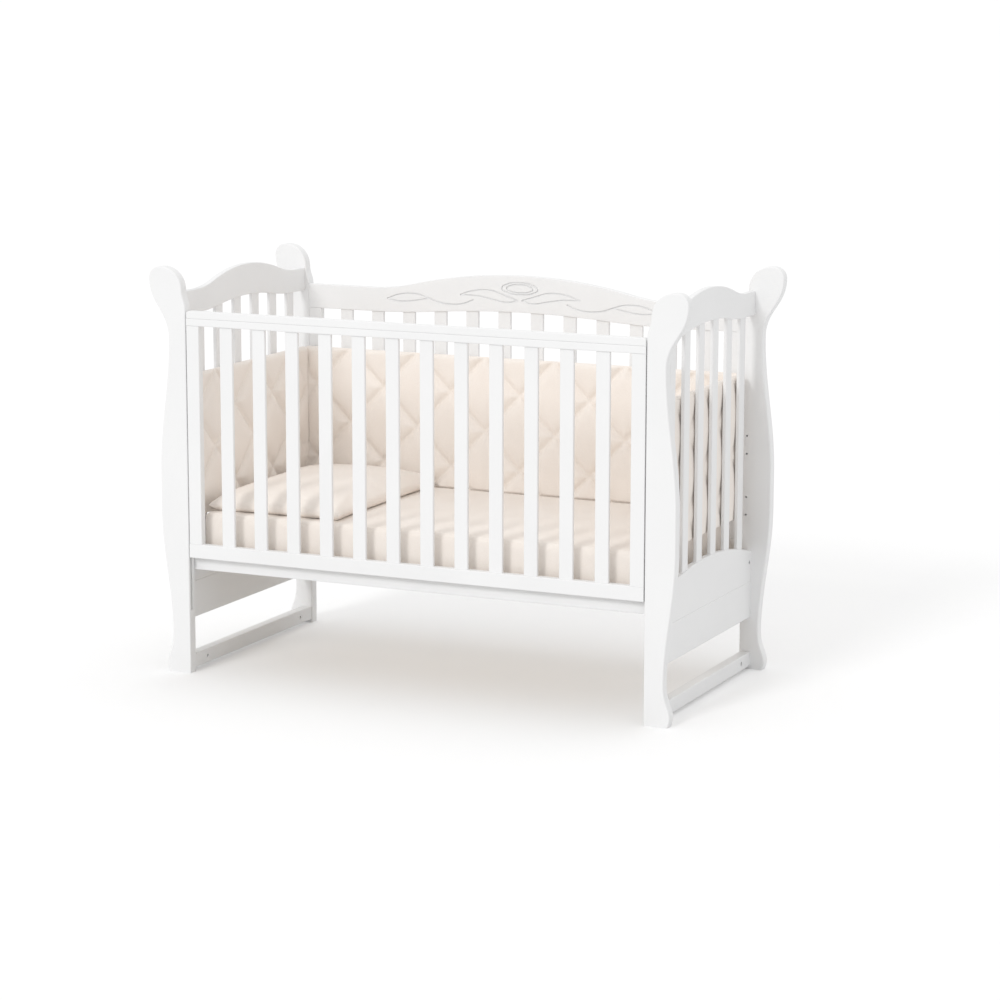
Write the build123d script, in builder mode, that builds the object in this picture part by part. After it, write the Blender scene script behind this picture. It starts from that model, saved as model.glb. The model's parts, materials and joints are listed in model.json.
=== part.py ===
"""Crib with scrolled posts, arched end panels, a drop side and a slatted bed base.

Millimetres. The origin is the centre of the footprint on the floor, +X runs along the
length, +Y to the back and +Z up. Left and right are as seen from the front.
"""

import os
from dataclasses import dataclass
from math import cos, pi, sqrt

from build123d import *

os.makedirs("parts", exist_ok=True)

# Inside of the frame, which a 1200 x 600 mattress sets
inside_length = 1250.0
inside_width = 626.0

# Posts: flat boards, sawn to a profile in the plane of the front. A drop is how far a
# place lies under the posts' top, and a reach is how far it lies outside their inner edge.
post_thickness = 28.0
post_height = 1042.0
foot_width = 62.0
toe_reach = 67.0
toe_height = 18.0
ankle_reach = 50.0
ankle_height = 100.0
belly_reach = 78.0
belly_low = 420.0
belly_high = 520.0
neck_reach = 49.0
neck_drop = 180.0
nose_reach = 103.5
nose_radius = 29.5
scroll_reach = 10.0
scroll_radius = 58.0
straight_edge_drop = 107.0
post_edge_round = 3.0

# End panels: boards and an arched rail between the front and back posts
board_thickness = 16.0
panel_set_out = 20.5
board_edge_round = 2.5
lower_board_bottom = 137.0
board_joint_height = 232.0
board_joint_chamfer = 1.2
upper_board_crown_above_base = 44.0
upper_board_arch_radius = 1180.0
end_rail_crown_drop = 21.0
end_rail_rise = 41.0
end_rail_depth = 61.0
end_rail_under_rise = 20.0
end_slat_count = 6

# Floor stretchers, with a line of holes for castors or rockers
stretcher_thickness = 28.0
stretcher_height = 37.0
stretcher_bottom = 9.0
stretcher_set_out = 16.5
stretcher_hole_spacing = 500.0
stretcher_hole_radius = 4.5
stretcher_counterbore_radius = 6.5
stretcher_counterbore_depth = 8.0

# Slats, with stub tenons in mortises
slat_width = 36.0
slat_thickness = 10.0
slat_edge_round = 2.5
tenon_length = 6.0
mortise_depth = 7.5

# Side frames: the drop side in front and the fixed side at the back
side_thickness = 20.0
side_slat_count = 12
stile_width = 36.0
stile_tenon_width = 24.0
side_edge_round = 2.0
bottom_rail_bottom = 302.5
bottom_rail_height = 36.0
drop_side_end_gap = 2.5
drop_side_top_drop = 108.5
drop_rail_height = 18.5
drop_cap_height = 19.0
drop_cap_corner = 8.0
crest_crown_drop = 55.0
crest_rise = 50.0
crest_depth = 64.5
crest_under_rise = 18.0

# Guides of the drop side, in a groove of each front post
drop_travel = 150.0
groove_width = 9.0
groove_depth = 9.0
groove_end_gap = 2.0
channel_wall = 1.2
guide_pin_radius = 3.0
guide_pin_seat = 20.0
guide_pin_below_cap = 5.5
guide_tip_gap = 1.0
guide_tip_round = 1.2

# Spring catches in the ends of the drop side's bottom rail
catch_bore_radius = 5.2
catch_bore_depth = 46.0
catch_travel = 8.0
catch_bush_length = 4.5
catch_collar_length = 6.0
catch_tail_radius = 2.0
catch_tail_length = 20.0
catch_spring_wire = 1.6
catch_fit = 0.2
catch_end_gap = 0.3

# Bed base, at its lowest height
base_top = 309.0
base_side_gap = 1.0
base_rail_height = 32.0
base_rail_thickness = 20.0
base_slat_thickness = 10.0
base_slat_width = 60.0
base_slat_count = 13
base_slat_edge_round = 2.0

# Blind holes in the posts for the higher base settings
base_upper_heights = (427.0, 585.0)
height_hole_spacing = 46.0
height_hole_radius = 2.75
height_hole_depth = 14.0
height_hole_set_out = 12.0

# Fasteners
bolt_shank_radius = 3.0
bolt_hole_radius = 3.25
bolt_head_radius = 4.8
bolt_head_height = 5.0
bolt_socket_radius = 2.3
bolt_socket_depth = 3.0
bolt_recess = 5.5
bolt_counterbore_radius = 5.2
bolt_end_gap = 3.0
base_bolt_length = 50.0
barrel_nut_radius = 5.0
barrel_nut_length = 16.0
barrel_nut_set_back = 28.0
side_bolt_length = 44.0
side_bolt_end_distance = 102.0
insert_radius = 4.5
insert_length = 15.0
dowel_radius = 4.0
dowel_length = 30.0
dowel_fit = 0.05
dowel_end_gap = 0.5

# Soft goods
mattress_end_gap = 27.0
mattress_side_gap = 15.0
mattress_thickness = 105.0
mattress_corner_radius = 28.0
mattress_edge_round = 14.0
mattress_set_back = 5.0
bumper_thickness = 29.0
bumper_height = 356.0
bumper_edge_round = 9.0
pillow_length = 568.0
pillow_width = 392.0
pillow_thickness = 62.0
pillow_corner_radius = 60.0
pillow_edge_round = 24.0
soft_gap = 0.3

# Places that follow
half_length = inside_length / 2
half_width = inside_width / 2
post_y = half_width + post_thickness / 2
drop_side_y = -(half_width + post_thickness - side_thickness / 2)
back_side_y = half_width + side_thickness / 2
panel_x = half_length + panel_set_out
panel_inner_x = panel_x - board_thickness / 2
panel_outer_x = panel_x + board_thickness / 2
stretcher_x = half_length + stretcher_set_out
stretcher_middle = stretcher_bottom + stretcher_height / 2
drop_side_length = inside_length - 2 * drop_side_end_gap
drop_end_x = drop_side_length / 2
bottom_rail_top = bottom_rail_bottom + bottom_rail_height
drop_rail_top = post_height - drop_side_top_drop - drop_cap_height
drop_rail_bottom = drop_rail_top - drop_rail_height
end_rail_top_crown = post_height - end_rail_crown_drop
end_rail_top_shoulder = end_rail_top_crown - end_rail_rise
end_rail_bottom_shoulder = end_rail_top_shoulder - end_rail_depth
end_rail_bottom_crown = end_rail_bottom_shoulder + end_rail_under_rise
crest_top_crown = post_height - crest_crown_drop
crest_top_shoulder = crest_top_crown - crest_rise
crest_bottom_shoulder = crest_top_shoulder - crest_depth
crest_bottom_crown = crest_bottom_shoulder + crest_under_rise
side_bolt_heights = (
    bottom_rail_top + side_bolt_end_distance,
    crest_bottom_shoulder - side_bolt_end_distance,
)
upper_board_crown = base_top + upper_board_crown_above_base
catch_height = bottom_rail_bottom + bottom_rail_height / 2
guide_pin_height = drop_rail_top - guide_pin_below_cap
groove_bottom = catch_height - drop_travel - guide_pin_radius - groove_end_gap
groove_top = guide_pin_height + guide_pin_radius + groove_end_gap
pin_tip_x = half_length + groove_depth - channel_wall - guide_tip_gap
base_rail_top = base_top - base_slat_thickness
base_rail_middle = base_rail_top - base_rail_height / 2
base_rail_y = half_width - base_side_gap - base_rail_thickness / 2
barrel_nut_x = panel_inner_x - barrel_nut_set_back
dowel_hole_radius = dowel_radius + dowel_fit
dowel_hole_depth = dowel_length / 2 + dowel_end_gap
mattress_length = inside_length - 2 * mattress_end_gap
mattress_width = inside_width - 2 * mattress_side_gap
mattress_bottom = base_top + soft_gap
mattress_top = mattress_bottom + mattress_thickness
bumper_bottom = mattress_top + soft_gap


@dataclass
class CrownedEdge:
    """Edge that runs level from each end and rises over tangent arcs to its crown."""

    half_span: float
    shoulder: float
    crown: float
    level_share: float
    crown_share: float

    @property
    def foot(self):
        return self.half_span * (1 - self.level_share)

    @property
    def bend(self):
        return self.foot * self.crown_share

    @property
    def radii(self):
        rise = self.crown - self.shoulder
        both = (self.foot**2 + rise**2) / (2 * rise)
        return both * self.crown_share, both * (1 - self.crown_share)

    def height(self, along):
        along = abs(along)
        crown_radius, foot_radius = self.radii
        if along < self.bend:
            return self.crown - crown_radius + sqrt(crown_radius**2 - along**2)
        if along < self.foot:
            reach = self.foot - along
            return self.shoulder + foot_radius - sqrt(foot_radius**2 - reach**2)
        return self.shoulder

    def point(self, along):
        return (along, self.height(along))

    def draw(self):
        ThreePointArc(self.point(-self.bend), self.point(0), self.point(self.bend))
        for side in (-1, 1):
            foot, bend = side * self.foot, side * self.bend
            Line(self.point(side * self.half_span), self.point(foot))
            ThreePointArc(self.point(foot), self.point((foot + bend) / 2), self.point(bend))


end_rail_top = CrownedEdge(half_width, end_rail_top_shoulder, end_rail_top_crown, 0.16, 0.65)
end_rail_bottom = CrownedEdge(
    half_width, end_rail_bottom_shoulder, end_rail_bottom_crown, 0.2, 0.56
)
crest_top = CrownedEdge(half_length, crest_top_shoulder, crest_top_crown, 0.31, 0.74)
crest_bottom = CrownedEdge(half_length, crest_bottom_shoulder, crest_bottom_crown, 0.31, 0.56)


def board_arch(along):
    """Height of an upper end board's top edge."""
    drop = upper_board_arch_radius - sqrt(upper_board_arch_radius**2 - along**2)
    return upper_board_crown - drop


def lengthwise(y):
    """Upright plane along the crib, drawn as seen from the front."""
    return Plane.XZ.offset(-y)


def crosswise(x):
    """Upright plane across the crib, with Y to the right and Z up."""
    return Plane.YZ.offset(x)


def facing(x, y, z, direction):
    """Plane at a hole's mouth, with its normal out of the mouth."""
    return Plane(origin=(x, y, z), z_dir=direction)


def save(piece, name):
    """Label a finished piece and write it to its own file."""
    piece.part.label = name
    export_step(piece.part, f"parts/{name}.step")


def mirrored(piece):
    """The same piece at the other end of the crib."""
    with BuildPart() as twin:
        mirror(piece.part, about=Plane.YZ)
    return twin


def spread(first, last, count):
    """Evenly spaced places from first to last."""
    step = (last - first) / (count - 1)
    return [first + step * index for index in range(count)]


def slat_places(clear_length, upright_width, count):
    """Middles of slats set with equal gaps between two uprights."""
    gap = (clear_length - 2 * upright_width - count * slat_width) / (count + 1)
    first = -clear_length / 2 + upright_width + gap + slat_width / 2
    return spread(first, -first, count)


drop_slats = slat_places(drop_side_length, stile_width, side_slat_count)
back_slats = slat_places(inside_length, stile_width, side_slat_count)
end_slats = slat_places(inside_width, 0, end_slat_count)
drop_stile_x = (drop_side_length - stile_width) / 2
back_stile_x = (inside_length - stile_width) / 2


def upright_bar(x, y, bottom, top, size, mode=Mode.ADD):
    """Vertical bar with the rounded section of a slat or a tenon."""
    with BuildSketch(Plane((x, y, bottom))) as section:
        RectangleRounded(*size, radius=slat_edge_round)
    extrude(section.sketch, amount=top - bottom, mode=mode)


side_slat_size = (slat_width, slat_thickness)
stile_tenon_size = (stile_tenon_width, slat_thickness)
end_slat_size = (slat_thickness, slat_width)


def drilled(mouth, radius, depth):
    with Locations(mouth):
        Hole(radius, depth)


def drill_bolt_hole(mouth, depth):
    with Locations(mouth):
        CounterBoreHole(bolt_hole_radius, bolt_counterbore_radius, bolt_recess, depth)


def round_outline(across, ends, radius):
    """Round the long edges of a board's two faces, but not those at its ends."""
    outline = faces().filter_by(across).edges().filter_by(ends, reverse=True)
    fillet(outline, radius)


def dowel_pair(bottom, top):
    """Heights of the two dowels in the end of a rail or board."""
    return [bottom + (top - bottom) * share for share in (0.27, 0.73)]


end_rail_dowels = dowel_pair(end_rail_bottom_shoulder, end_rail_top_shoulder)
upper_board_dowels = [
    (board_joint_height + base_rail_middle) / 2,
    (base_rail_middle + board_arch(half_width)) / 2,
]
lower_board_dowels = dowel_pair(lower_board_bottom, board_joint_height)
panel_dowels = end_rail_dowels + upper_board_dowels + lower_board_dowels
dowel_places = [(panel_x, height) for height in panel_dowels] + [(stretcher_x, stretcher_middle)]


def draw_post_outline():
    """Outline of a right-hand post: straight inside, scrolled outside."""
    foot = (half_length + foot_width, 0)
    toe = (half_length + toe_reach, toe_height)
    ankle = (half_length + ankle_reach, ankle_height)
    belly = half_length + belly_reach
    neck = (half_length + neck_reach, post_height - neck_drop)
    nose = (half_length + nose_reach, post_height - nose_radius)
    nose_top = (nose[0] - nose_radius, post_height)
    scroll = (half_length + scroll_reach, post_height - scroll_radius)
    scroll_top = (scroll[0] + scroll_radius, post_height)
    diagonal = cos(pi / 4)
    nose_middle = (nose_top[0] + nose_radius * diagonal, nose[1] + nose_radius * diagonal)
    scroll_middle = (
        scroll_top[0] - scroll_radius * diagonal,
        scroll[1] + scroll_radius * diagonal,
    )
    straight_end = (half_length, post_height - straight_edge_drop)
    up, down = (0, 1), (0, -1)
    Polyline(straight_end, (half_length, 0), foot)
    Spline(foot, toe, ankle, tangents=[(0.5, 1), up])
    Spline(ankle, (belly, belly_low), tangents=[up, up])
    Line((belly, belly_low), (belly, belly_high))
    Spline((belly, belly_high), neck, tangents=[up, up])
    Spline(neck, nose, tangents=[up, up])
    ThreePointArc(nose, nose_middle, nose_top)
    Line(nose_top, scroll_top)
    ThreePointArc(scroll_top, scroll_middle, scroll)
    Spline(scroll, straight_end, tangents=[down, down])


def cut_post_holes(face_y, side):
    """Dowel holes and height-setting holes in the face that meets the end panel."""
    for x, height in dowel_places:
        drilled(facing(x, face_y, height, (0, side, 0)), dowel_hole_radius, dowel_hole_depth)
    for middle in base_upper_heights:
        for step in (-height_hole_spacing / 2, height_hole_spacing / 2):
            mouth = facing(
                half_length + height_hole_set_out, face_y, middle + step, (0, side, 0)
            )
            drilled(mouth, height_hole_radius, height_hole_depth)


with BuildPart() as front_right_post:
    with BuildSketch(lengthwise(-post_y)):
        with BuildLine():
            draw_post_outline()
        make_face()
    extrude(amount=post_thickness / 2, both=True)
    round_outline(Axis.Y, Axis.X, post_edge_round)
    cut_post_holes(-half_width, 1)
    with BuildSketch(crosswise(half_length)):
        with Locations((drop_side_y, (groove_bottom + groove_top) / 2)):
            Rectangle(groove_width, groove_top - groove_bottom)
    extrude(amount=groove_depth, mode=Mode.SUBTRACT)

with BuildPart() as back_right_post:
    with BuildSketch(lengthwise(post_y)):
        with BuildLine():
            draw_post_outline()
        make_face()
    extrude(amount=post_thickness / 2, both=True)
    round_outline(Axis.Y, Axis.X, post_edge_round)
    cut_post_holes(half_width, -1)
    for height in side_bolt_heights:
        mouth = facing(half_length, back_side_y, height, (-1, 0, 0))
        drilled(mouth, insert_radius, insert_length + bolt_end_gap)

for piece, name in ((front_right_post, "front"), (back_right_post, "back")):
    save(piece, f"{name}_right_post")
    save(mirrored(piece), f"{name}_left_post")


def drill_end_dowels(x, heights):
    """Blind dowel holes in both ends of a piece between the front and back posts."""
    for side in (-1, 1):
        for height in heights:
            mouth = facing(x, side * half_width, height, (0, side, 0))
            drilled(mouth, dowel_hole_radius, dowel_hole_depth)


with BuildPart() as end_top_rail:
    with BuildSketch(crosswise(panel_x)):
        with BuildLine():
            end_rail_top.draw()
            end_rail_bottom.draw()
            for y in (-half_width, half_width):
                Line(end_rail_bottom.point(y), end_rail_top.point(y))
        make_face()
    extrude(amount=board_thickness / 2, both=True)
    round_outline(Axis.X, Axis.Z, board_edge_round)
    drill_end_dowels(panel_x, end_rail_dowels)
    for y in end_slats:
        mortise_end = end_rail_bottom.height(y) + mortise_depth
        upright_bar(
            panel_x, y, end_rail_bottom_shoulder, mortise_end, end_slat_size, Mode.SUBTRACT
        )

with BuildPart() as end_upper_board:
    with BuildSketch(crosswise(panel_x)):
        with BuildLine():
            near = (-half_width, board_arch(half_width))
            far = (half_width, board_arch(half_width))
            ThreePointArc(near, (0, upper_board_crown), far)
            Polyline(
                near, (-half_width, board_joint_height), (half_width, board_joint_height), far
            )
        make_face()
    extrude(amount=board_thickness / 2, both=True)
    fillet(edges().filter_by(GeomType.CIRCLE), board_edge_round)
    chamfer(faces().sort_by(Axis.Z)[0].edges().filter_by(Axis.Y), board_joint_chamfer)
    drill_end_dowels(panel_x, upper_board_dowels)
    for y in end_slats:
        upright_bar(
            panel_x,
            y,
            board_arch(y) - mortise_depth,
            upper_board_crown,
            end_slat_size,
            Mode.SUBTRACT,
        )
    for y in (-base_rail_y, base_rail_y):
        drill_bolt_hole(facing(panel_outer_x, y, base_rail_middle, (1, 0, 0)), board_thickness)

with BuildPart() as end_lower_board:
    with BuildSketch(crosswise(panel_x)):
        with Locations((0, (lower_board_bottom + board_joint_height) / 2)):
            Rectangle(inside_width, board_joint_height - lower_board_bottom)
    extrude(amount=board_thickness / 2, both=True)
    fillet(faces().sort_by(Axis.Z)[0].edges().filter_by(Axis.Y), board_edge_round)
    chamfer(faces().sort_by(Axis.Z)[-1].edges().filter_by(Axis.Y), board_joint_chamfer)
    drill_end_dowels(panel_x, lower_board_dowels)

with BuildPart() as floor_stretcher:
    with BuildSketch(crosswise(stretcher_x)):
        with Locations((0, stretcher_middle)):
            Rectangle(inside_width, stretcher_height)
    extrude(amount=stretcher_thickness / 2, both=True)
    fillet(edges().filter_by(Axis.Y), board_edge_round)
    drill_end_dowels(stretcher_x, [stretcher_middle])
    outer_x = stretcher_x + stretcher_thickness / 2
    for y in (-stretcher_hole_spacing / 2, stretcher_hole_spacing / 2):
        with Locations(facing(outer_x, y, stretcher_middle, (1, 0, 0))):
            CounterBoreHole(
                stretcher_hole_radius,
                stretcher_counterbore_radius,
                stretcher_counterbore_depth,
                stretcher_thickness,
            )

with BuildPart() as end_slat_set:
    for y in end_slats:
        bottom = board_arch(y) - tenon_length
        upright_bar(
            panel_x, y, bottom, end_rail_bottom.height(y) + tenon_length, end_slat_size
        )

for piece, name in (
    (end_top_rail, "end_top_rail"),
    (end_upper_board, "end_upper_board"),
    (end_lower_board, "end_lower_board"),
    (floor_stretcher, "floor_stretcher"),
    (end_slat_set, "end_slats"),
):
    save(piece, f"right_{name}")
    save(mirrored(piece), f"left_{name}")


def rail_bar(length, y, bottom, height):
    """Straight rail of a side frame, with its long edges rounded."""
    with BuildSketch(lengthwise(y)) as profile:
        with Locations((0, bottom + height / 2)):
            Rectangle(length, height)
    extrude(profile.sketch, amount=side_thickness / 2, both=True)
    fillet(edges().filter_by(Axis.X), side_edge_round)


def cut_mortises(slats, stile_x, y, bottom, top):
    """Mortises of the slats and of the two stiles, from bottom to top."""
    for x in slats:
        upright_bar(x, y, bottom, top, side_slat_size, Mode.SUBTRACT)
    for x in (-stile_x, stile_x):
        upright_bar(x, y, bottom, top, stile_tenon_size, Mode.SUBTRACT)


def stile_bar(x, y, bottom, top):
    """Upright at the end of a side frame, with a stub tenon at each end."""
    with BuildSketch(Plane((x, y, bottom))) as section:
        Rectangle(stile_width, side_thickness)
    extrude(section.sketch, amount=top - bottom)
    fillet(edges().filter_by(Axis.Z), side_edge_round)
    upright_bar(x, y, bottom - tenon_length, top + tenon_length, stile_tenon_size)


# Drop side
with BuildPart() as drop_side_bottom_rail:
    rail_bar(drop_side_length, drop_side_y, bottom_rail_bottom, bottom_rail_height)
    mortise_floor = bottom_rail_top - mortise_depth
    cut_mortises(drop_slats, drop_stile_x, drop_side_y, mortise_floor, bottom_rail_top)
    for side in (-1, 1):
        mouth = facing(side * drop_end_x, drop_side_y, catch_height, (side, 0, 0))
        drilled(mouth, catch_bore_radius, catch_bore_depth)
save(drop_side_bottom_rail, "drop_side_bottom_rail")

with BuildPart() as drop_side_top_rail:
    rail_bar(drop_side_length, drop_side_y, drop_rail_bottom, drop_rail_height)
    mortise_end = drop_rail_bottom + mortise_depth
    cut_mortises(drop_slats, drop_stile_x, drop_side_y, drop_rail_bottom, mortise_end)
    for side in (-1, 1):
        mouth = facing(side * drop_end_x, drop_side_y, guide_pin_height, (side, 0, 0))
        drilled(mouth, guide_pin_radius, guide_pin_seat)
save(drop_side_top_rail, "drop_side_top_rail")

with BuildPart() as drop_side_cap:
    with BuildSketch(lengthwise(drop_side_y)):
        with Locations((0, drop_rail_top + drop_cap_height / 2)):
            Rectangle(drop_side_length, drop_cap_height)
        fillet(vertices().group_by(Axis.Y)[-1], drop_cap_corner)
    extrude(amount=side_thickness / 2, both=True)
    round_outline(Axis.Y, Axis.Z, side_edge_round)
save(drop_side_cap, "drop_side_cap")

with BuildPart() as drop_side_stile:
    stile_bar(drop_stile_x, drop_side_y, bottom_rail_top, drop_rail_bottom)
save(drop_side_stile, "drop_side_right_stile")
save(mirrored(drop_side_stile), "drop_side_left_stile")

for number, x in enumerate(drop_slats, start=1):
    with BuildPart() as drop_side_slat:
        bottom = bottom_rail_top - tenon_length
        upright_bar(x, drop_side_y, bottom, drop_rail_bottom + tenon_length, side_slat_size)
    save(drop_side_slat, f"drop_side_slat_{number:02}")

# Guides of the drop side: a lined groove, upper pins and spring catches
with BuildPart() as guide_channel:
    with BuildSketch(Plane((half_length, drop_side_y, groove_bottom))):
        Rectangle(groove_depth, groove_width, align=(Align.MIN, Align.CENTER))
        Rectangle(
            groove_depth - channel_wall,
            groove_width - 2 * channel_wall,
            align=(Align.MIN, Align.CENTER),
            mode=Mode.SUBTRACT,
        )
    extrude(amount=groove_top - groove_bottom)
save(guide_channel, "right_guide_channel")
save(mirrored(guide_channel), "left_guide_channel")

with BuildPart() as upper_guide_pins:
    for side in (-1, 1):
        with BuildSketch(facing(side * pin_tip_x, drop_side_y, guide_pin_height, (side, 0, 0))):
            Circle(guide_pin_radius)
        extrude(amount=-(pin_tip_x - drop_end_x + guide_pin_seat))
    tips = faces().filter_by(Axis.X).group_by(Axis.X)
    fillet((tips[0] + tips[-1]).edges(), guide_tip_round)
save(upper_guide_pins, "upper_guide_pins")

collar_front = drop_end_x - catch_bush_length - catch_end_gap
collar_back = collar_front - catch_collar_length
catch_middle = (drop_side_y, catch_height)


def turned_along_x(start, end, radius):
    """Round bar along the catch's axis from one X to another."""
    with BuildSketch(facing(start, *catch_middle, (1, 0, 0))) as disc:
        Circle(radius)
    extrude(disc.sketch, amount=end - start)


with BuildPart() as catch_bolt:
    turned_along_x(collar_back - catch_tail_length, collar_back, catch_tail_radius)
    turned_along_x(collar_back, collar_front, catch_bore_radius - catch_fit)
    turned_along_x(collar_front, pin_tip_x, guide_pin_radius)
    fillet(faces().sort_by(Axis.X)[-1].edges(), guide_tip_round)
save(catch_bolt, "right_catch_bolt")
save(mirrored(catch_bolt), "left_catch_bolt")

with BuildPart() as right_bush:
    with BuildSketch(facing(drop_end_x, *catch_middle, (1, 0, 0))):
        Circle(catch_bore_radius)
        Circle(guide_pin_radius + catch_fit, mode=Mode.SUBTRACT)
    extrude(amount=-catch_bush_length)
with BuildPart() as catch_bushes:
    add(right_bush.part)
    mirror(right_bush.part, about=Plane.YZ)
save(catch_bushes, "catch_bushes")

# Each spring is drawn at its closed length, clear of the bolt over its travel
spring_seat = drop_end_x - catch_bore_depth
spring_length = collar_back - catch_travel - catch_end_gap - spring_seat
with BuildPart() as right_spring:
    with BuildSketch(facing(spring_seat, *catch_middle, (1, 0, 0))):
        Circle(catch_bore_radius - catch_fit)
        Circle(catch_bore_radius - catch_fit - catch_spring_wire, mode=Mode.SUBTRACT)
    extrude(amount=spring_length)
with BuildPart() as catch_springs:
    add(right_spring.part)
    mirror(right_spring.part, about=Plane.YZ)
save(catch_springs, "catch_springs")

# Fixed back side
with BuildPart() as back_crest_rail:
    with BuildSketch(lengthwise(back_side_y)):
        with BuildLine():
            crest_top.draw()
            crest_bottom.draw()
            for x in (-half_length, half_length):
                Line(crest_bottom.point(x), crest_top.point(x))
        make_face()
    extrude(amount=side_thickness / 2, both=True)
    round_outline(Axis.Y, Axis.Z, side_edge_round)
    for x in back_slats:
        mortise_end = crest_bottom.height(x) + mortise_depth
        upright_bar(
            x, back_side_y, crest_bottom_shoulder, mortise_end, side_slat_size, Mode.SUBTRACT
        )
    mortise_end = crest_bottom_shoulder + mortise_depth
    for x in (-back_stile_x, back_stile_x):
        upright_bar(
            x, back_side_y, crest_bottom_shoulder, mortise_end, stile_tenon_size, Mode.SUBTRACT
        )
save(back_crest_rail, "back_crest_rail")

with BuildPart() as back_bottom_rail:
    rail_bar(inside_length, back_side_y, bottom_rail_bottom, bottom_rail_height)
    mortise_floor = bottom_rail_top - mortise_depth
    cut_mortises(back_slats, back_stile_x, back_side_y, mortise_floor, bottom_rail_top)
save(back_bottom_rail, "back_bottom_rail")

stile_inner_x = half_length - stile_width
with BuildPart() as back_stile:
    stile_bar(back_stile_x, back_side_y, bottom_rail_top, crest_bottom_shoulder)
    for height in side_bolt_heights:
        drill_bolt_hole(facing(stile_inner_x, back_side_y, height, (-1, 0, 0)), stile_width)
save(back_stile, "back_right_stile")
save(mirrored(back_stile), "back_left_stile")

with BuildPart() as back_slat_set:
    for x in back_slats:
        bottom = bottom_rail_top - tenon_length
        upright_bar(
            x, back_side_y, bottom, crest_bottom.height(x) + tenon_length, side_slat_size
        )
save(back_slat_set, "back_slats")

# Bed base: two side rails, two end rails and slats across
with BuildPart() as base_side_rail:
    with BuildSketch(crosswise(0)):
        with Locations((base_rail_y, base_rail_middle)):
            Rectangle(base_rail_thickness, base_rail_height)
    extrude(amount=panel_inner_x, both=True)
    fillet(edges().filter_by(Axis.X), side_edge_round)
    for side in (-1, 1):
        mouth = facing(side * panel_inner_x, base_rail_y, base_rail_middle, (side, 0, 0))
        bolt_reach = base_bolt_length + bolt_end_gap - (board_thickness - bolt_recess)
        drilled(mouth, bolt_hole_radius, bolt_reach)
        inner_face = base_rail_y - base_rail_thickness / 2
        mouth = facing(side * barrel_nut_x, inner_face, base_rail_middle, (0, -1, 0))
        drilled(mouth, barrel_nut_radius, barrel_nut_length)
save(base_side_rail, "base_back_rail")
with BuildPart() as base_front_rail:
    mirror(base_side_rail.part, about=Plane.XZ)
save(base_front_rail, "base_front_rail")

with BuildPart() as base_end_rail:
    with BuildSketch(crosswise(panel_inner_x)):
        with Locations((0, base_rail_middle)):
            Rectangle(2 * base_rail_y - base_rail_thickness, base_rail_height)
    extrude(amount=-base_rail_thickness)
    fillet(edges().filter_by(Axis.Y), side_edge_round)
save(base_end_rail, "base_right_end_rail")
save(mirrored(base_end_rail), "base_left_end_rail")

outer_base_slat_x = half_length - base_side_gap - base_slat_width / 2
with BuildPart() as base_slats:
    for x in spread(-outer_base_slat_x, outer_base_slat_x, base_slat_count):
        with BuildSketch(lengthwise(0)) as section:
            with Locations((x, base_top - base_slat_thickness / 2)):
                RectangleRounded(base_slat_width, base_slat_thickness, base_slat_edge_round)
        extrude(section.sketch, amount=half_width - base_side_gap, both=True)
save(base_slats, "base_slats")


# Fasteners
def socket_bolt(mouth, shank_length):
    """Bolt with its head's outer face on the mouth plane and its shank behind it."""
    with BuildSketch(mouth) as head:
        Circle(bolt_head_radius)
    extrude(head.sketch, amount=-bolt_head_height)
    with BuildSketch(mouth.offset(-bolt_head_height)) as shank:
        Circle(bolt_shank_radius)
    extrude(shank.sketch, amount=-shank_length)
    with BuildSketch(mouth) as socket:
        RegularPolygon(bolt_socket_radius, side_count=6)
    extrude(socket.sketch, amount=-bolt_socket_depth, mode=Mode.SUBTRACT)


head_sink = bolt_recess - bolt_head_height
with BuildPart() as base_bolts:
    for side in (-1, 1):
        for y in (-base_rail_y, base_rail_y):
            head_x = side * (panel_outer_x - head_sink)
            socket_bolt(facing(head_x, y, base_rail_middle, (side, 0, 0)), base_bolt_length)
save(base_bolts, "base_bolts")

with BuildPart() as base_barrel_nuts:
    for side in (-1, 1):
        for end in (-1, 1):
            inner_face = end * (base_rail_y - base_rail_thickness / 2)
            mouth = facing(side * barrel_nut_x, inner_face, base_rail_middle, (0, -end, 0))
            with BuildSketch(mouth):
                Circle(barrel_nut_radius)
            extrude(amount=-barrel_nut_length)
            through = facing(
                side * (barrel_nut_x + barrel_nut_radius),
                end * base_rail_y,
                base_rail_middle,
                (side, 0, 0),
            )
            drilled(through, bolt_hole_radius, 2 * barrel_nut_radius)
save(base_barrel_nuts, "base_barrel_nuts")

with BuildPart() as back_side_bolts:
    for side in (-1, 1):
        for height in side_bolt_heights:
            head_x = side * (stile_inner_x + head_sink)
            mouth = facing(head_x, back_side_y, height, (-side, 0, 0))
            socket_bolt(mouth, side_bolt_length)
save(back_side_bolts, "back_side_bolts")

with BuildPart() as threaded_inserts:
    for side in (-1, 1):
        for height in side_bolt_heights:
            with BuildSketch(facing(side * half_length, back_side_y, height, (side, 0, 0))):
                Circle(insert_radius)
                Circle(bolt_hole_radius, mode=Mode.SUBTRACT)
            extrude(amount=insert_length)
save(threaded_inserts, "threaded_inserts")

with BuildPart() as end_frame_dowels:
    for side in (-1, 1):
        for y in (-half_width, half_width):
            for x, height in dowel_places:
                with BuildSketch(facing(side * x, y, height, (0, 1, 0))):
                    Circle(dowel_radius)
                extrude(amount=dowel_length / 2, both=True)
save(end_frame_dowels, "end_frame_dowels")


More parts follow.
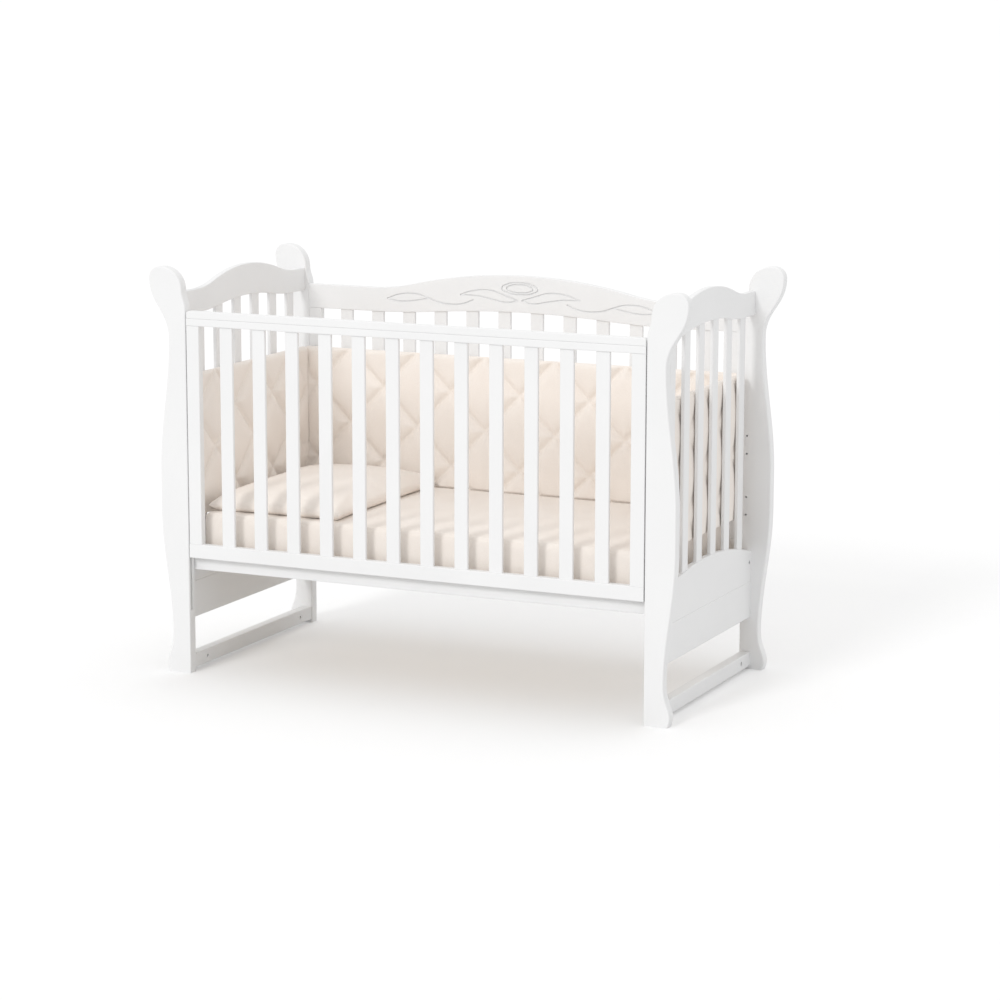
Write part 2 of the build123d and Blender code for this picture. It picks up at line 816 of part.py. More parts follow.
# Soft goods
def soft_slab(middle, length, width, bottom, height, corner_radius, edge_radius):
    """Flat pad with rounded corners and edges."""
    with BuildSketch(Plane((middle[0], middle[1], bottom))) as outline:
        RectangleRounded(length, width, corner_radius)
    extrude(outline.sketch, amount=height)
    fillet(faces().filter_by(Axis.Z).edges(), edge_radius)


with BuildPart() as mattress:
    soft_slab(
        (0, -mattress_set_back),
        mattress_length,
        mattress_width,
        mattress_bottom,
        mattress_thickness,
        mattress_corner_radius,
        mattress_edge_round,
    )
save(mattress, "mattress")

bumper_back_y = half_width - soft_gap
end_bumper_x = panel_x - slat_thickness / 2 - soft_gap
with BuildPart() as back_bumper:
    with BuildSketch(lengthwise(bumper_back_y)):
        with Locations((0, bumper_bottom + bumper_height / 2)):
            Rectangle(inside_length - 2 * soft_gap, bumper_height)
    extrude(amount=bumper_thickness)
    fillet(edges(), bumper_edge_round)
save(back_bumper, "back_bumper")

bumper_front_limit = half_width - slat_thickness
end_bumper_back_y = bumper_back_y - bumper_thickness - soft_gap
end_bumper_length = end_bumper_back_y + bumper_front_limit
with BuildPart() as end_bumper:
    with BuildSketch(crosswise(end_bumper_x)):
        with Locations(
            (end_bumper_back_y - end_bumper_length / 2, bumper_bottom + bumper_height / 2)
        ):
            Rectangle(end_bumper_length, bumper_height)
    extrude(amount=-bumper_thickness)
    fillet(edges(), bumper_edge_round)
save(end_bumper, "right_bumper")
save(mirrored(end_bumper), "left_bumper")

pillow_x = -(end_bumper_x - bumper_thickness - soft_gap - pillow_width / 2)
pillow_y = end_bumper_back_y - pillow_length / 2
with BuildPart() as pillow:
    soft_slab(
        (pillow_x, pillow_y),
        pillow_width,
        pillow_length,
        mattress_top + soft_gap,
        pillow_thickness,
        pillow_corner_radius,
        pillow_edge_round,
    )
save(pillow, "pillow")
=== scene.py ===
"""Looks of the crib: painted wood with a routed crest, a quilted lining, mattress and pillow.

Metres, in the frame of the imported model: +X along the crib, +Y to its back, +Z up.
"""

import json
from math import cos, pi, radians, sin, sqrt

import bmesh
import bpy
from mathutils import Matrix, Vector, noise


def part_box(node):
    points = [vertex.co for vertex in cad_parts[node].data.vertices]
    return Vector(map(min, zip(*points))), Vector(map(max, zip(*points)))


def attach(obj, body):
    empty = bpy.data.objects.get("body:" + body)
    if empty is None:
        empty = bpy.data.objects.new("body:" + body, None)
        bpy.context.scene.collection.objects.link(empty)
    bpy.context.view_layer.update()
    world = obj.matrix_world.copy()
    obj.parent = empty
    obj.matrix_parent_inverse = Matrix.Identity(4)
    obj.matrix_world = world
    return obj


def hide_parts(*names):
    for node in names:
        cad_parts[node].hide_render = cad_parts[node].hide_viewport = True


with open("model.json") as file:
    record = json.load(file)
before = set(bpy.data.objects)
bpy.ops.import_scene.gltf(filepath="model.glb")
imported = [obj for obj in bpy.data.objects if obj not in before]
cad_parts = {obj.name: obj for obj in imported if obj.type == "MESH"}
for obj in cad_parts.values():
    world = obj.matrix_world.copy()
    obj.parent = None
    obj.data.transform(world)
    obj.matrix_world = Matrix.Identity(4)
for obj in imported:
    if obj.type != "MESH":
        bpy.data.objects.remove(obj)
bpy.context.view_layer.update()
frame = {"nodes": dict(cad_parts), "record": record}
nodes = frame["nodes"]
scene = bpy.context.scene
mm = 0.001

# The photograph's view
camera_place = (3.2848, -6.8994, 1.8437)
camera_turn = radians(24.853)
camera_dip = radians(10.379)
camera_roll = radians(0.10)
camera_lens = 109.602
camera_sensor = 36.0

# Light
key_side = radians(10)
key_height = radians(29)
key_spread = radians(14)
key_strength = 0.86
back_side = radians(190)
back_height = radians(62)
back_spread = radians(40)
back_strength = 0.28
sky_strength = 0.84
floor_half = 90.0
floor_paper = 0.80
floor_seen = 0.97
floor_glow = 0.20
floor_glow_strength = 1.08

# Paints and cloths, as colours in linear light
paint = (0.865, 0.865, 0.865)
paint_shade = (0.845, 0.845, 0.845)
bare_pine = (0.74, 0.60, 0.42)
pine_late = (0.60, 0.43, 0.26)
beech = (0.66, 0.45, 0.28)
beech_late = (0.52, 0.33, 0.19)
zinc = (0.60, 0.61, 0.62)
white_plastic = (0.84, 0.84, 0.83)
white_plastic_shade = (0.80, 0.80, 0.79)
cloth = (0.93, 0.868, 0.810)
cloth_shade = (0.905, 0.835, 0.772)

# Quilting of the bumpers
quilt_pitch = 200 * mm
quilt_cells = 28
quilt_top_row = 0.7706
quilt_along = 108 * mm
pad_inset = 1.0 * mm


class Graph:
    """A material's nodes, added one by one and linked by their outputs."""

    def __init__(self, name):
        self.material = bpy.data.materials.new(name)
        self.material.use_nodes = True
        self.tree = self.material.node_tree
        self.tree.nodes.clear()

    def add(self, kind, inputs=(), **settings):
        node = self.tree.nodes.new("ShaderNode" + kind)
        for key, value in settings.items():
            setattr(node, key, value)
        for key, value in dict(inputs).items():
            socket = node.inputs[key]
            if isinstance(value, bpy.types.NodeSocket):
                self.tree.links.new(value, socket)
            else:
                socket.default_value = value
        return node.outputs

    def places(self, scale):
        """Coordinates in the crib's frame, stretched by the scale along each axis."""
        coordinates = self.add("TexCoord")["Object"]
        return self.add("Mapping", {"Vector": coordinates, "Scale": scale})["Vector"]

    def noise(self, scale, detail=3.0, stretch=(1, 1, 1), distortion=0.0):
        inputs = {
            "Vector": self.places(stretch),
            "Scale": scale,
            "Detail": detail,
            "Distortion": distortion,
        }
        return self.add("TexNoise", inputs)["Fac"]

    def blend(self, factor, first, second):
        """Colour between two colours."""
        inputs = {"Factor": factor, 6: (*first, 1.0), 7: (*second, 1.0)}
        return self.add("Mix", inputs, data_type="RGBA")[2]

    def span(self, value, low, high, source=(0.3, 0.7)):
        """The value moved from its source range to the range from low to high."""
        inputs = {0: value, 1: source[0], 2: source[1], 3: low, 4: high}
        return self.add("MapRange", inputs)[0]

    def bump(self, height, depth, below=None):
        inputs = {"Height": height, "Distance": depth, "Strength": 1.0}
        if below is not None:
            inputs["Normal"] = below
        return self.add("Bump", inputs)["Normal"]

    def surface(self, inputs):
        shader = self.add("BsdfPrincipled", inputs)[0]
        self.add("OutputMaterial", {"Surface": shader})
        return self.material


grain_stretch = {"X": (0.06, 1, 1), "Y": (1, 0.06, 1), "Z": (1, 1, 0.06)}


def painted_wood(axis):
    """Satin white paint, through which the grain shows faintly."""
    graph = Graph(f"satin_white_grain_{axis.lower()}")
    grain = graph.noise(170, 5.0, grain_stretch[axis], 0.4)
    pores = graph.noise(900, 2.0, grain_stretch[axis])
    peel = graph.noise(420, 1.0)
    clouds = graph.noise(5, 2.0)
    normal = graph.bump(grain, 0.10 * mm)
    normal = graph.bump(pores, 0.03 * mm, normal)
    normal = graph.bump(peel, 0.03 * mm, normal)
    return graph.surface(
        {
            "Base Color": graph.blend(graph.span(clouds, 0, 1), paint, paint_shade),
            "Roughness": graph.span(grain, 0.40, 0.50),
            "Normal": normal,
        }
    )


def bare_wood(name, axis, early, late):
    """Planed wood without a finish."""
    graph = Graph(f"{name}_{axis.lower()}")
    stretch = grain_stretch[axis]
    rings = graph.noise(55, 4.0, stretch, 1.2)
    fibres = graph.noise(700, 3.0, stretch)
    colour = graph.blend(graph.span(rings, 0, 1, (0.42, 0.66)), early, late)
    normal = graph.bump(fibres, 0.08 * mm)
    return graph.surface(
        {
            "Base Color": colour,
            "Roughness": graph.span(fibres, 0.55, 0.70),
            "Normal": normal,
        }
    )


def zinc_steel():
    """Zinc-plated steel, lightly brushed and spotted."""
    graph = Graph("zinc_steel")
    spots = graph.noise(260, 4.0)
    brushing = graph.noise(900, 2.0, (0.1, 1, 1))
    darker = tuple(0.86 * value for value in zinc)
    return graph.surface(
        {
            "Base Color": graph.blend(graph.span(spots, 0, 1), zinc, darker),
            "Metallic": 1.0,
            "Roughness": graph.span(brushing, 0.28, 0.42),
            "Normal": graph.bump(brushing, 0.01 * mm),
        }
    )


def moulded_plastic():
    """White moulded plastic with a fine spark-eroded texture."""
    graph = Graph("moulded_plastic")
    texture = graph.noise(1400, 2.0)
    clouds = graph.noise(30, 2.0)
    return graph.surface(
        {
            "Base Color": graph.blend(graph.span(clouds, 0, 1), white_plastic, white_plastic_shade),
            "Roughness": graph.span(texture, 0.42, 0.55),
            "Normal": graph.bump(texture, 0.03 * mm),
        }
    )


def woven_cotton(name, thread, tone=1.0):
    """Plain weave whose threads are this far apart, in a slightly uneven cream."""
    graph = Graph(name)
    turns = 2 * pi / (20 * thread)
    waves = []
    for axis in ("X", "Y", "Z"):
        inputs = {"Vector": graph.places((1, 1, 1)), "Scale": turns, "Distortion": 0.6}
        waves.append(graph.add("TexWave", inputs, bands_direction=axis)["Fac"])
    weave = graph.add("Math", {0: waves[0], 1: waves[1]}, operation="MULTIPLY")[0]
    weave = graph.add("Math", {0: weave, 1: waves[2]}, operation="ADD")[0]
    slubs = graph.noise(420, 3.0)
    clouds = graph.noise(9, 2.0)
    shade = graph.add("Math", {0: slubs, 1: clouds}, operation="ADD")[0]
    light = tuple(tone * value for value in cloth)
    dark = tuple(tone * value for value in cloth_shade)
    normal = graph.bump(weave, 0.05 * mm)
    normal = graph.bump(slubs, 0.10 * mm, normal)
    return graph.surface(
        {
            "Base Color": graph.blend(graph.span(shade, 0, 1, (0.8, 1.2)), light, dark),
            "Roughness": graph.span(slubs, 0.80, 0.92),
            "Sheen Weight": 0.15,
            "Sheen Roughness": 0.5,
            "Normal": normal,
        }
    )


# Finishes of the carried-over nodes, by the grain of each
painted = {axis: painted_wood(axis) for axis in "XYZ"}
pine = {axis: bare_wood("bare_pine", axis, bare_pine, pine_late) for axis in "XY"}
steel = zinc_steel()
plastic = moulded_plastic()
dowel_beech = bare_wood("beech", "Y", beech, beech_late)
slat_grain = {"back_slats": "Z", "base_slats": "Y"}
white_base_rails = ("base_front_rail", "base_back_rail", "base_left_end_rail", "base_right_end_rail")


def grain_of(name):
    """The axis that a wooden node's grain runs along."""
    low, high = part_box(name)
    size = high - low
    return slat_grain.get(name, "XYZ"[list(size).index(max(size))])


def finish_of(name, slot):
    if slot == "white_wood" or name in white_base_rails:
        return painted[grain_of(name)]
    if slot == "base_wood":
        return pine[grain_of(name)]
    return {"dowel_wood": dowel_beech, "zinc_steel": steel, "white_plastic": plastic}.get(slot)


def coat(piece, material):
    piece.data.materials.clear()
    piece.data.materials.append(material)


def dress_nodes():
    """Give each node that stays its own finish."""
    for entry in frame["record"]["subparts"]:
        material = finish_of(entry["node"], entry["material_slot"])
        if material is not None:
            coat(nodes[entry["node"]], material)


def mesh_piece(name, points, faces):
    """New object from points and faces, in the crib's frame."""
    mesh = bpy.data.meshes.new(name)
    mesh.from_pydata([tuple(point) for point in points], [], faces)
    mesh.update()
    piece = bpy.data.objects.new(name, mesh)
    scene.collection.objects.link(piece)
    return piece


def settled_mesh(piece):
    """The piece's mesh with its modifiers applied."""
    graph = bpy.context.evaluated_depsgraph_get()
    return bpy.data.meshes.new_from_object(piece.evaluated_get(graph))


def apply_modifiers(piece):
    mesh = settled_mesh(piece)
    piece.modifiers.clear()
    piece.data = mesh


# Crest rail with its routed ornament. Points are in millimetres, along and up the right
# half, and the left half mirrors them.
crest_leaf_top = [(5, 922), (38, 932), (84, 945), (138, 941), (173, 929.5)]
crest_leaf_bottom = [(5, 922), (36, 915.5), (80, 922), (120, 928.5), (173, 929.5)]
crest_stem = [(134, 918), (164, 906.5), (200, 902.5), (236, 906.5), (264, 915.5)]
crest_bud_top = [(264, 915.5), (293, 924), (324, 925.5), (354, 921.5), (389, 909)]
crest_bud_bottom = [(264, 915.5), (284, 911.5), (324, 905), (360, 904), (389, 909)]
crest_lines = [crest_leaf_top, crest_leaf_bottom, crest_stem, crest_bud_top, crest_bud_bottom]
crest_oval_height = 953
crest_ovals = [(51, 15.5), (37.5, 10.5)]
cutter_radius = 2.4 * mm
cutter_sink = 1.4 * mm
crest_sharp_above = radians(32)
weld_distance = 0.001 * mm


def cutter_line(points, closed=False):
    """Tube along a smooth line through the points, to cut one groove."""
    low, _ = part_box("back_crest_rail")
    curve = bpy.data.curves.new("cutter", "CURVE")
    curve.dimensions = "3D"
    curve.bevel_depth = cutter_radius
    curve.bevel_resolution = 4
    curve.resolution_u = 10
    curve.use_fill_caps = True
    spline = curve.splines.new("BEZIER")
    spline.bezier_points.add(len(points) - 1)
    for point, (along, up) in zip(spline.bezier_points, points):
        point.co = (along * mm, low.y + cutter_sink, up * mm)
        point.handle_left_type = point.handle_right_type = "AUTO"
    spline.use_cyclic_u = closed
    piece = bpy.data.objects.new("cutter", curve)
    scene.collection.objects.link(piece)
    mesh = settled_mesh(piece)
    bpy.data.objects.remove(piece)
    return mesh


def oval_points(half_length, half_height, count=8):
    turns = [2 * pi * step / count for step in range(count)]
    return [
        (half_length * cos(turn), crest_oval_height + half_height * sin(turn)) for turn in turns
    ]


def joined(name, meshes):
    """One object from several meshes, without their stored normals."""
    points, faces = [], []
    for mesh in meshes:
        first = len(points)
        points.extend(vertex.co.copy() for vertex in mesh.vertices)
        for polygon in mesh.polygons:
            faces.append([first + corner for corner in polygon.vertices])
    return mesh_piece(name, points, faces)


def soften(piece, sharp_above):
    """Smooth shading, with edges sharper than the angle kept crisp."""
    for polygon in piece.data.polygons:
        polygon.use_smooth = True
    piece.data.set_sharp_from_angle(angle=sharp_above)


def make_crest():
    """The crest rail with its ornament cut in."""
    meshes = [cutter_line(oval_points(*size), closed=True) for size in crest_ovals]
    for line in crest_lines:
        meshes.append(cutter_line(line))
        meshes.append(cutter_line([(-along, up) for along, up in line]))
    cutter = joined("cutters", meshes)
    crest = joined("carved_crest_rail", [nodes["back_crest_rail"].data])
    shape = bmesh.new()
    shape.from_mesh(crest.data)
    bmesh.ops.remove_doubles(shape, verts=shape.verts, dist=weld_distance)
    shape.to_mesh(crest.data)
    shape.free()
    cut = crest.modifiers.new("cut", "BOOLEAN")
    cut.operation = "DIFFERENCE"
    cut.solver = "EXACT"
    cut.use_self = True
    cut.object = cutter
    apply_modifiers(crest)
    bpy.data.objects.remove(cutter)
    soften(crest, crest_sharp_above)
    coat(crest, painted["X"])
    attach(crest, "frame")
    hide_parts("back_crest_rail")


# Catch springs
spring_turns = 9
spring_wire = 0.7 * mm
turn_steps = 18


def make_springs():
    """A coil in place of each plain spring."""
    low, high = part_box("catch_springs")
    radius = (high.z - low.z) / 2 - spring_wire
    middle_y, middle_z = (low.y + high.y) / 2, (low.z + high.z) / 2
    points = [vertex.co for vertex in nodes["catch_springs"].data.vertices]
    inner = min(abs(point.x) for point in points) + spring_wire
    outer = high.x - spring_wire
    for side, name in ((-1, "left_catch_spring"), (1, "right_catch_spring")):
        curve = bpy.data.curves.new(name, "CURVE")
        curve.dimensions = "3D"
        curve.bevel_depth = spring_wire
        curve.bevel_resolution = 3
        curve.use_fill_caps = True
        spline = curve.splines.new("POLY")
        steps = spring_turns * turn_steps
        spline.points.add(steps)
        for step, point in enumerate(spline.points):
            turn = 2 * pi * step / turn_steps
            x = side * (inner + (outer - inner) * step / steps)
            point.co = (x, middle_y + radius * cos(turn), middle_z + radius * sin(turn), 1)
        spring = bpy.data.objects.new(name, curve)
        scene.collection.objects.link(spring)
        coat(spring, steel)
        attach(spring, "drop_side")
        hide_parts("catch_springs")


# Soft goods
sim_frames = 20
cloth_sharp_above = radians(80)


def swell(piece, pressure, growth, cap, pinned=()):
    """Let pressure fill a closed cloth, and move each point at most as far as the cap.

    Gravity is off, so the filling alone shapes the cloth, and pinned points stay.
    """
    start = [vertex.co.copy() for vertex in piece.data.vertices]
    modifier = piece.modifiers.new("cloth", "CLOTH")
    settings = modifier.settings
    settings.quality = 5
    settings.mass = 0.3
    settings.tension_stiffness = settings.compression_stiffness = 12
    settings.bending_stiffness = 0.6
    settings.use_pressure = True
    settings.uniform_pressure_force = pressure
    settings.shrink_min = -growth
    settings.effector_weights.gravity = 0
    modifier.collision_settings.use_collision = False
    modifier.point_cache.frame_start = 1
    modifier.point_cache.frame_end = sim_frames
    if pinned:
        group = piece.vertex_groups.new(name="pinned")
        group.add(list(pinned), 1.0, "REPLACE")
        settings.vertex_group_mass = "pinned"
    for step in range(1, sim_frames + 1):
        scene.frame_set(step)
    swollen = settled_mesh(piece)
    piece.modifiers.clear()
    for vertex, old, new in zip(piece.data.vertices, start, swollen.vertices):
        move = new.co - old
        if move.length > cap:
            move *= cap / move.length
        vertex.co = old + move
    piece.vertex_groups.clear()
    scene.frame_set(1)


def hold_within(piece, low, high):
    """Keep the points inside a box, as its neighbours keep a soft piece."""
    for vertex in piece.data.vertices:
        for axis in range(3):
            vertex.co[axis] = min(max(vertex.co[axis], low[axis]), high[axis])


def subdivide(piece):
    modifier = piece.modifiers.new("smooth", "SUBSURF")
    modifier.levels = modifier.render_levels = 1
    apply_modifiers(piece)
    soften(piece, cloth_sharp_above)


stop_clearance = 1.2


def stops(low, high, step, origin, edge_stops):
    """Grid lines from low to high: on the lattice inside, and closer together at the edges."""
    first = int((low - origin) // step)
    last = int((high - origin) // step) + 1
    inside = [origin + step * index for index in range(first, last + 1)]
    margin = edge_stops[-1] * stop_clearance
    middle = [value for value in inside if low + margin < value < high - margin]
    starts = [low + stop for stop in edge_stops]
    ends = [high - stop for stop in reversed(edge_stops)]
    return starts + middle + ends


def edge_fullness(distance, radius):
    """Share of the full thickness at a distance from a pad's rounded edge."""
    inside = min(max(distance / radius, 0.0), 1.0)
    return sqrt(1 - (1 - inside) ** 2)


def shell(name, along, up, thickness_at, place):
    """Closed pad: two faces over one grid that meet along its border.

    thickness_at(a, b, face) is how far a face stands from the middle, and place(a, b, c)
    turns a point of the pad into a point of the crib.
    """
    count_a, count_b = len(along), len(up)
    points, index = [], {}
    for face in (1, -1):
        for i, a in enumerate(along):
            for j, b in enumerate(up):
                border = i in (0, count_a - 1) or j in (0, count_b - 1)
                if border and face == -1:
                    index[face, i, j] = index[1, i, j]
                    continue
                index[face, i, j] = len(points)
                depth = 0.0 if border else face * thickness_at(a, b, face)
                points.append(place(a, b, depth))
    faces = []
    for face in (1, -1):
        for i in range(count_a - 1):
            for j in range(count_b - 1):
                corners = [(i, j), (i + 1, j), (i + 1, j + 1), (i, j + 1)]
                faces.append([index[face, *corner] for corner in corners[:: face]])
    piece = mesh_piece(name, points, faces)
    shape = bmesh.new()
    shape.from_mesh(piece.data)
    bmesh.ops.recalc_face_normals(shape, faces=shape.faces)
    shape.to_mesh(piece.data)
    shape.free()
    return piece


def seam_distance(along, up):
    """Distance to the nearest of the diagonal seams that make the diamonds."""
    gaps = []
    for diagonal in (along + up, along - up):
        rest = diagonal % quilt_pitch
        gaps.append(min(rest, quilt_pitch - rest))
    return min(gaps) / sqrt(2)


pad_edge_stops = (0.0, 1.0 * mm, 2.5 * mm, 5.0 * mm, 9.0 * mm)
pad_top_radius = 9.0 * mm
pad_side_radius = 2.5 * mm
pad_start = 0.94
# Share of the half thickness left at a seam. Below zero the seam is drawn past the middle.
seam_share = -0.35
seam_radius = 30 * mm
back_seam_share = 0.62
plain_end = 22 * mm
seam_pin_reach = 1.0 * mm
quilt_pressure = 2.0
quilt_growth = 0.0
quilt_cap = 2.5 * mm
tuck_reach = 14 * mm
tuck_depth = 12 * mm


def tuck_in(pad, low, other, inner_side, lip_start):
    """Draw the outer part of a pad's lower edge down behind the mattress."""
    for vertex in pad.data.vertices:
        near = 1 - (vertex.co.z - low.z) / tuck_reach
        if near > 0 and (lip_start - vertex.co[other]) * inner_side > 0:
            vertex.co.z -= tuck_depth * min(near, 1.0)


def quilt_pad(name, node, axis, inner_side, quilt_origin, lip_start):
    """Bumper along the X or Y axis, quilted on its inner side."""
    low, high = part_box(node)
    other = 1 - axis
    middle = (low[other] + high[other]) / 2
    half = (high[other] - low[other]) / 2 - pad_inset
    step = quilt_pitch / quilt_cells
    along = stops(low[axis], high[axis], step, quilt_origin, pad_edge_stops)
    up = stops(low.z, high.z, step, quilt_top_row, pad_edge_stops)

    def seam_at(a, b):
        return seam_distance(a - quilt_origin, b - quilt_top_row)

    def thickness_at(a, b, face):
        side = min(a - low[axis], high[axis] - a, b - low.z)
        full = min(
            edge_fullness(side, pad_side_radius),
            edge_fullness(high.z - b, pad_top_radius),
        )
        drawn = seam_share if face == 1 else back_seam_share
        puff = drawn + (1 - drawn) * edge_fullness(seam_at(a, b), seam_radius)
        plain = 1 - min(a - low[axis], high[axis] - a) / plain_end
        return half * full * pad_start * max(puff, plain)

    def place(a, b, depth):
        point = Vector((0, 0, b))
        point[axis] = a
        point[other] = middle + inner_side * depth
        return point

    pad = shell(name, along, up, thickness_at, place)
    pins = []
    for vertex in pad.data.vertices:
        a, b = vertex.co[axis], vertex.co.z
        edge = min(a - low[axis], high[axis] - a, b - low.z, high.z - b)
        if seam_at(a, b) < seam_pin_reach or edge < seam_pin_reach:
            pins.append(vertex.index)
    swell(pad, quilt_pressure, quilt_growth, quilt_cap, pins)
    hold_within(pad, low, high)
    tuck_in(pad, low, other, inner_side, lip_start)
    subdivide(pad)
    coat(pad, bumper_cotton)
    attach(pad, "frame")
    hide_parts(node)


pillow_step = 8 * mm
pillow_edge_stops = (0.0, 2.0 * mm, 5.0 * mm)
pillow_seam_share = 0.24
pillow_crown = 0.70
pillow_belly = 2.2 * pillow_seam_share
pillow_side_power = 0.42
pillow_end_power = 0.36
pillow_side_pull = 0.040
pillow_end_pull = 0.030
pillow_headroom = 8 * mm
pillow_ripple = 1.2 * mm
pillow_pressure = 3.0
pillow_growth = 0.012
pillow_cap = 10 * mm


def make_pillow():
    """Plump pillow, sewn round its edge and flat where it lies on the mattress."""
    low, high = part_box("pillow")
    size = high - low
    middle = (low + high) / 2
    along = stops(low.x, high.x, pillow_step, low.x, pillow_edge_stops)
    up = stops(low.y, high.y, pillow_step, low.y, pillow_edge_stops)
    seam_height = low.z + pillow_seam_share * size.z

    def thickness_at(a, b, face):
        across = min(a - low.x, high.x - a) / (size.x / 2)
        length = min(b - low.y, high.y - b) / (size.y / 2)
        rise_across = (across * (2 - across)) ** pillow_side_power
        rise_along = (length * (2 - length)) ** pillow_end_power
        fullness = rise_across * rise_along
        share = pillow_crown if face == 1 else pillow_belly
        return share * size.z * fullness

    def place(a, b, depth):
        across, length = (a - middle.x) / (size.x / 2), (b - middle.y) / (size.y / 2)
        pull = pillow_end_pull * (1 - across**2) * abs(length) ** 3
        draw = pillow_side_pull * (1 - length**2) * abs(across) ** 3
        x = middle.x + (a - middle.x) * (1 - draw)
        y = middle.y + (b - middle.y) * (1 - pull)
        return Vector((x, y, seam_height + depth))

    pillow = shell("soft_pillow", along, up, thickness_at, place)
    swell(pillow, pillow_pressure, pillow_growth, pillow_cap)
    for vertex in pillow.data.vertices:
        point = vertex.co
        point.z += pillow_ripple * noise.noise(point * 14)
    hold_within(pillow, low, high + Vector((0, 0, pillow_headroom)))
    subdivide(pillow)
    coat(pillow, pillow_cotton)
    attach(pillow, "frame")
    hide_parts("pillow")


mattress_corner = 12 * mm
mattress_edge = 9 * mm
mattress_voxel = 9 * mm
mattress_proud = 10 * mm
mattress_shrink = 0.998
mattress_top_ripple = 0.9 * mm
mattress_side_ripple = 1.2 * mm
mattress_pressure = 2.5
mattress_cap = 3 * mm
lip_gap = 2 * mm


def make_mattress():
    """Foam mattress in a fitted cover that stands a little proud at its ends."""
    low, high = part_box("mattress")
    low.x -= mattress_proud
    high.x += mattress_proud
    bpy.ops.mesh.primitive_cube_add(size=1, location=(0, 0, 0))
    block = bpy.context.object
    block.name = "foam_mattress"
    size, middle = high - low, (low + high) / 2
    for vertex in block.data.vertices:
        vertex.co = Vector(c * s for c, s in zip(vertex.co, size)) + middle
    shape = bmesh.new()
    shape.from_mesh(block.data)
    upright = [e for e in shape.edges if abs(e.verts[0].co.z - e.verts[1].co.z) > size.z / 2]
    bmesh.ops.bevel(
        shape, geom=upright, offset=mattress_corner, segments=5, profile=0.5, affect="EDGES"
    )
    level = [
        e
        for e in shape.edges
        if abs(e.verts[0].co.z - e.verts[1].co.z) < mm and len(e.link_faces) == 2
        and any(abs(f.normal.z) > 0.9 for f in e.link_faces)
        and any(abs(f.normal.z) < 0.1 for f in e.link_faces)
    ]
    bmesh.ops.bevel(
        shape, geom=level, offset=mattress_edge, segments=4, profile=0.5, affect="EDGES"
    )
    shape.to_mesh(block.data)
    shape.free()
    remesh = block.modifiers.new("even", "REMESH")
    remesh.mode = "VOXEL"
    remesh.voxel_size = mattress_voxel
    apply_modifiers(block)
    for vertex in block.data.vertices:
        point = vertex.co
        inside = (point - middle) * mattress_shrink + middle
        ripple = noise.noise(point * 7) + 0.5 * noise.noise(point * 19)
        inside.z += mattress_top_ripple * ripple * (1 if point.z > middle.z else 0)
        side = 1 - min(1.0, abs(point.z - middle.z) / (size.z / 2))
        creases = noise.noise(Vector((point.x * 9, 0, point.z * 12)))
        inside.y += mattress_side_ripple * side * creases
        vertex.co = inside
    swell(block, mattress_pressure, 0.0, mattress_cap)
    hold_within(block, low, high)
    subdivide(block)
    coat(block, mattress_cotton)
    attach(block, "frame")
    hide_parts("mattress")


# Stage, light and camera
def make_floor():
    """White floor that keeps a soft shadow, with part of its light its own for the camera."""
    graph = Graph("studio_floor")
    paper = graph.add("BsdfDiffuse", {"Color": (floor_paper, floor_paper, floor_paper, 1)})[0]
    seen = graph.add("BsdfDiffuse", {"Color": (floor_seen, floor_seen, floor_seen, 1)})[0]
    glow = graph.add("Emission", {"Color": (1, 1, 1, 1), "Strength": floor_glow_strength})[0]
    seen = graph.add("MixShader", {0: floor_glow, 1: seen, 2: glow})[0]
    path = graph.add("LightPath")
    looks = graph.add(
        "Math", {0: path["Is Camera Ray"], 1: path["Is Glossy Ray"]}, operation="MAXIMUM"
    )[0]
    shader = graph.add("MixShader", {0: looks, 1: paper, 2: seen})[0]
    graph.add("OutputMaterial", {"Surface": shader})
    corners = [(-1, -1), (1, -1), (1, 1), (-1, 1)]
    points = [(floor_half * x, floor_half * y, 0.0) for x, y in corners]
    floor = mesh_piece("floor", points, [(0, 1, 2, 3)])
    coat(floor, graph.material)


def make_lamp(name, side, height, spread, strength):
    """Wide distant lamp. At side 0 its light travels straight to the back."""
    lamp = bpy.data.lights.new(name, "SUN")
    lamp.energy = strength
    lamp.angle = spread
    piece = bpy.data.objects.new(name, lamp)
    travel = Vector((sin(side) * cos(height), cos(side) * cos(height), -sin(height)))
    piece.rotation_euler = travel.to_track_quat("-Z", "Y").to_euler()
    scene.collection.objects.link(piece)


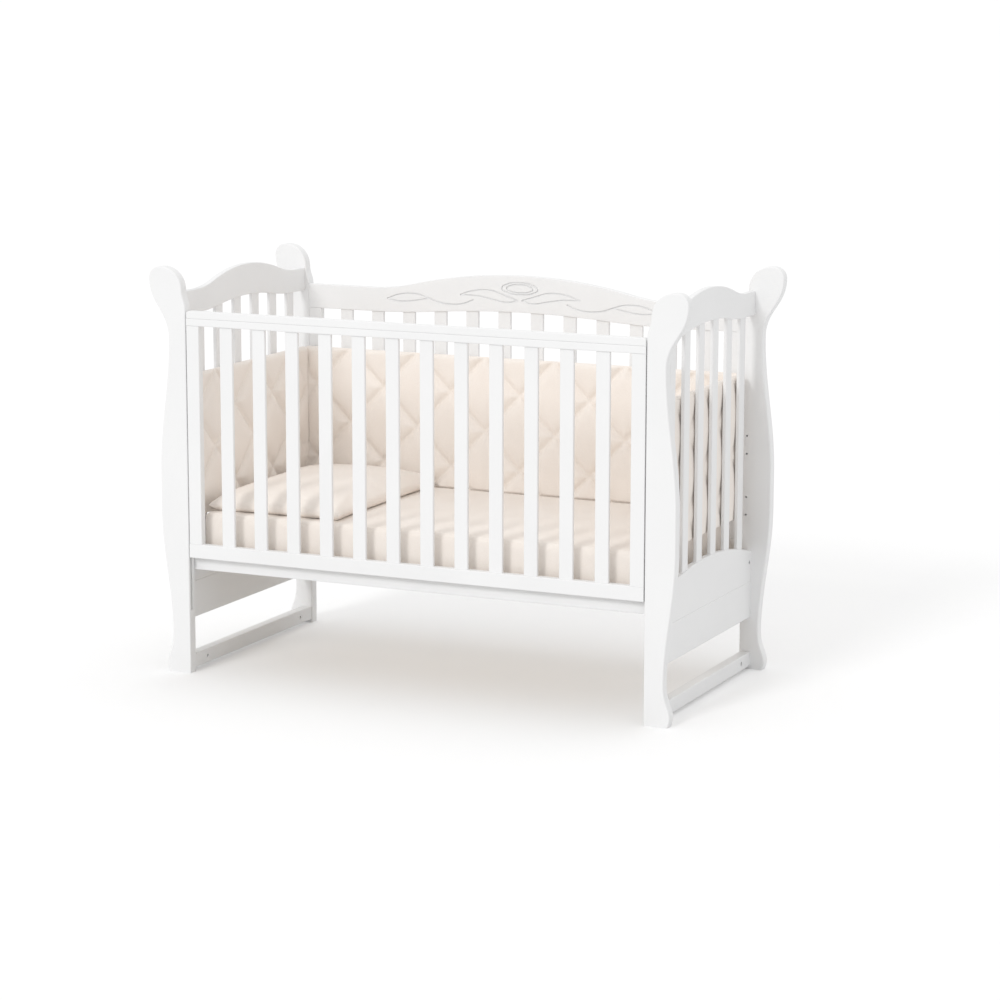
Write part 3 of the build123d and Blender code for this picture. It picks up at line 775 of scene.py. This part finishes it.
def make_light():
    """Soft key from the front left, a high lamp behind, and an even sky."""
    make_lamp("key", key_side, key_height, key_spread, key_strength)
    make_lamp("back", back_side, back_height, back_spread, back_strength)
    world = bpy.data.worlds.new("studio")
    world.use_nodes = True
    tree = world.node_tree
    tree.nodes.clear()
    path = tree.nodes.new("ShaderNodeLightPath")
    looks = tree.nodes.new("ShaderNodeMath")
    looks.operation = "MAXIMUM"
    tree.links.new(path.outputs["Is Camera Ray"], looks.inputs[0])
    tree.links.new(path.outputs["Is Glossy Ray"], looks.inputs[1])
    strength = tree.nodes.new("ShaderNodeMapRange")
    strength.inputs[3].default_value = sky_strength
    strength.inputs[4].default_value = 1.0
    tree.links.new(looks.outputs[0], strength.inputs[0])
    background = tree.nodes.new("ShaderNodeBackground")
    background.inputs["Color"].default_value = (1, 1, 1, 1)
    tree.links.new(strength.outputs[0], background.inputs["Strength"])
    output = tree.nodes.new("ShaderNodeOutputWorld")
    tree.links.new(background.outputs[0], output.inputs["Surface"])
    scene.world = world


def make_camera():
    """The photograph's view."""
    lens = bpy.data.cameras.new("camera")
    lens.lens = camera_lens
    lens.sensor_width = camera_sensor
    lens.clip_end = 200
    camera = bpy.data.objects.new("camera", lens)
    look = Vector(
        (-sin(camera_turn) * cos(camera_dip), cos(camera_turn) * cos(camera_dip), -sin(camera_dip))
    )
    turn = look.to_track_quat("-Z", "Y").to_matrix().to_4x4()
    camera.matrix_world = turn @ Matrix.Rotation(camera_roll, 4, "Z")
    camera.location = camera_place
    scene.collection.objects.link(camera)
    scene.camera = camera


# Cloths of the soft goods, by the distance between their threads
bumper_cotton = woven_cotton("bumper_cotton", 0.9 * mm)
pillow_cotton = woven_cotton("pillow_cotton", 0.8 * mm)
mattress_cotton = woven_cotton("mattress_cotton", 1.1 * mm, 0.99)

make_camera()
make_light()
make_floor()
dress_nodes()
make_crest()
make_springs()
mattress_low, mattress_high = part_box("mattress")
back_lip = mattress_high.y + lip_gap
left_lip = mattress_low.x - mattress_proud - lip_gap
right_lip = mattress_high.x + mattress_proud + lip_gap
quilt_pad("quilted_back_bumper", "back_bumper", 0, -1, quilt_along, back_lip)
quilt_pad("quilted_left_bumper", "left_bumper", 1, 1, 0.0, left_lip)
quilt_pad("quilted_right_bumper", "right_bumper", 1, -1, 0.0, right_lip)
make_pillow()
make_mattress()

scene.view_settings.view_transform = "Standard"
